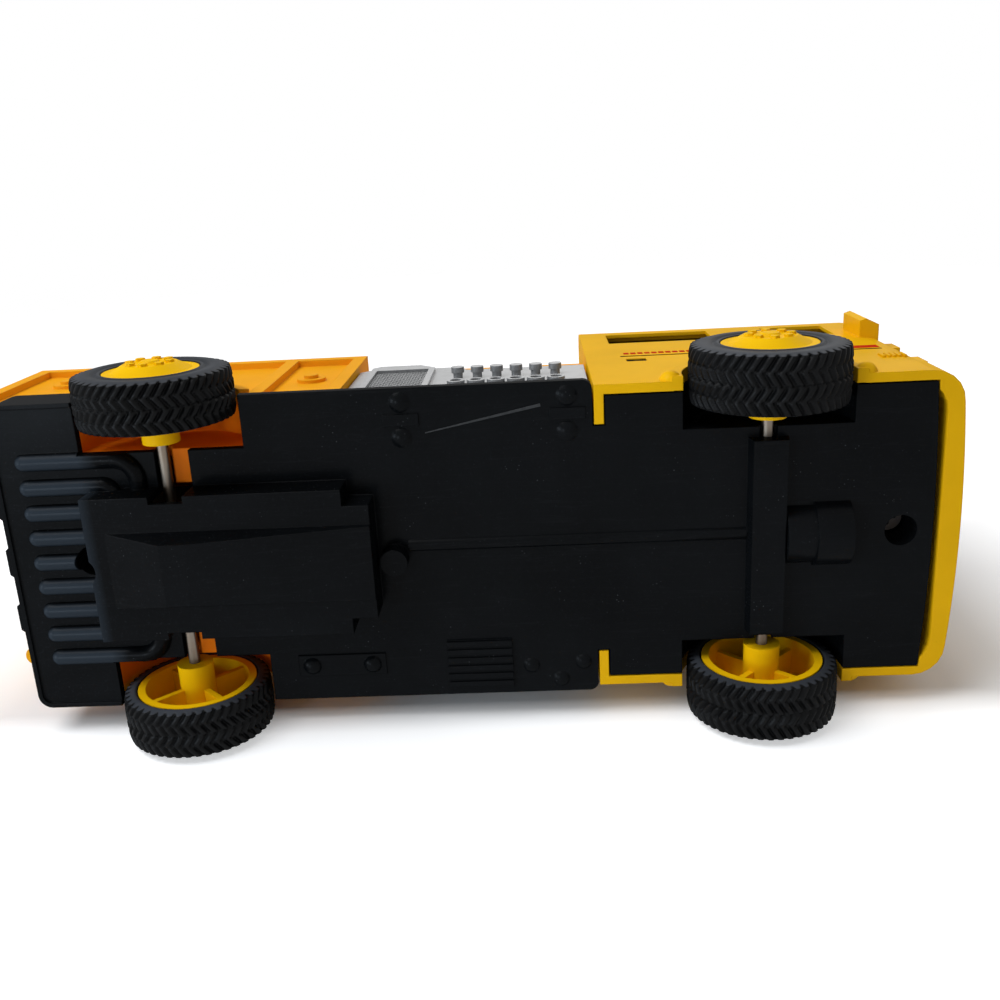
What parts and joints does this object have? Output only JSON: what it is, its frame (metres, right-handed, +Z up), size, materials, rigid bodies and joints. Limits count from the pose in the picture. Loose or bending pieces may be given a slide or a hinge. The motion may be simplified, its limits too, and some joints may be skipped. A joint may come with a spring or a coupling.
{
  "type": "toy fire truck",
  "caption": "Plastic toy fire truck with a crew cab, pump panels, a rear body with hose bed, rubber-tyred wheels on steel axles and a friction flywheel motor in the base.",
  "frame": {"origin": "on the ground under the middle of the truck, where the tyres stand", "axes": "+X forward to the bumper, +Y to the truck's left, +Z up"},
  "size_m": [0.1686, 0.0684, 0.0725],
  "materials": {
    "black_plastic": "satin moulded",
    "cab_yellow": "gloss moulded",
    "body_orange": "gloss moulded",
    "hub_yellow": "gloss moulded",
    "pump_silver": "metallic grey plastic",
    "smoked_window": "smoked, glossy",
    "red_lens": "gloss",
    "tyre_rubber": "soft rubber",
    "axle_steel": "drawn, a little dull",
    "screw_steel": "plated",
    "frame_steel": "stamped sheet",
    "gear_nylon": "natural nylon",
    "pinion_brass": "machined",
    "flywheel_iron": "sintered"
  },
  "bodies": {
    "truck": {"chassis_base": "black_plastic", "cab_shell": "cab_yellow", "window_insert": "smoked_window", "light_bar": "red_lens", "rear_body": "body_orange", "pump_panel_right": "pump_silver", "pump_panel_left": "pump_silver", "screws": "screw_steel", "motor_frame_right": "frame_steel", "motor_frame_left": "frame_steel", "motor_pillars": "frame_steel"},
    "front_wheels": {"front_axle": "axle_steel", "hub_front_right": "hub_yellow", "hub_front_left": "hub_yellow", "tyre_front_right": "tyre_rubber", "tyre_front_left": "tyre_rubber"},
    "rear_wheels": {"rear_axle": "axle_steel", "hub_rear_right": "hub_yellow", "hub_rear_left": "hub_yellow", "tyre_rear_right": "tyre_rubber", "tyre_rear_left": "tyre_rubber", "axle_gear": "gear_nylon"},
    "idler": {"idler_shaft": "axle_steel", "idler_gear": "gear_nylon"},
    "flywheel": {"flywheel_shaft": "axle_steel", "flywheel_pinion": "pinion_brass", "flywheel": "flywheel_iron"}
  },
  "joints": [
    {"name": "front_spin", "type": "hinge", "parent": "truck", "child": "front_wheels", "pos_m": [0.05185, 0, 0.013], "axis": [0, 1, 0], "continuous": true},
    {"name": "rear_spin", "type": "hinge", "parent": "truck", "child": "rear_wheels", "pos_m": [-0.04915, 0, 0.013], "axis": [0, 1, 0], "continuous": true},
    {"name": "idler_spin", "type": "hinge", "parent": "truck", "child": "idler", "pos_m": [-0.03969, 0, 0.01682], "axis": [0, 1, 0], "continuous": true},
    {"name": "flywheel_spin", "type": "hinge", "parent": "truck", "child": "flywheel", "pos_m": [-0.03024, 0, 0.02064], "axis": [0, 1, 0], "continuous": true}
  ],
  "couplings": [
    {"joint": "idler_spin", "follows": "rear_spin", "ratio": -2.4},
    {"joint": "flywheel_spin", "follows": "rear_spin", "ratio": 5.76}
  ]
}
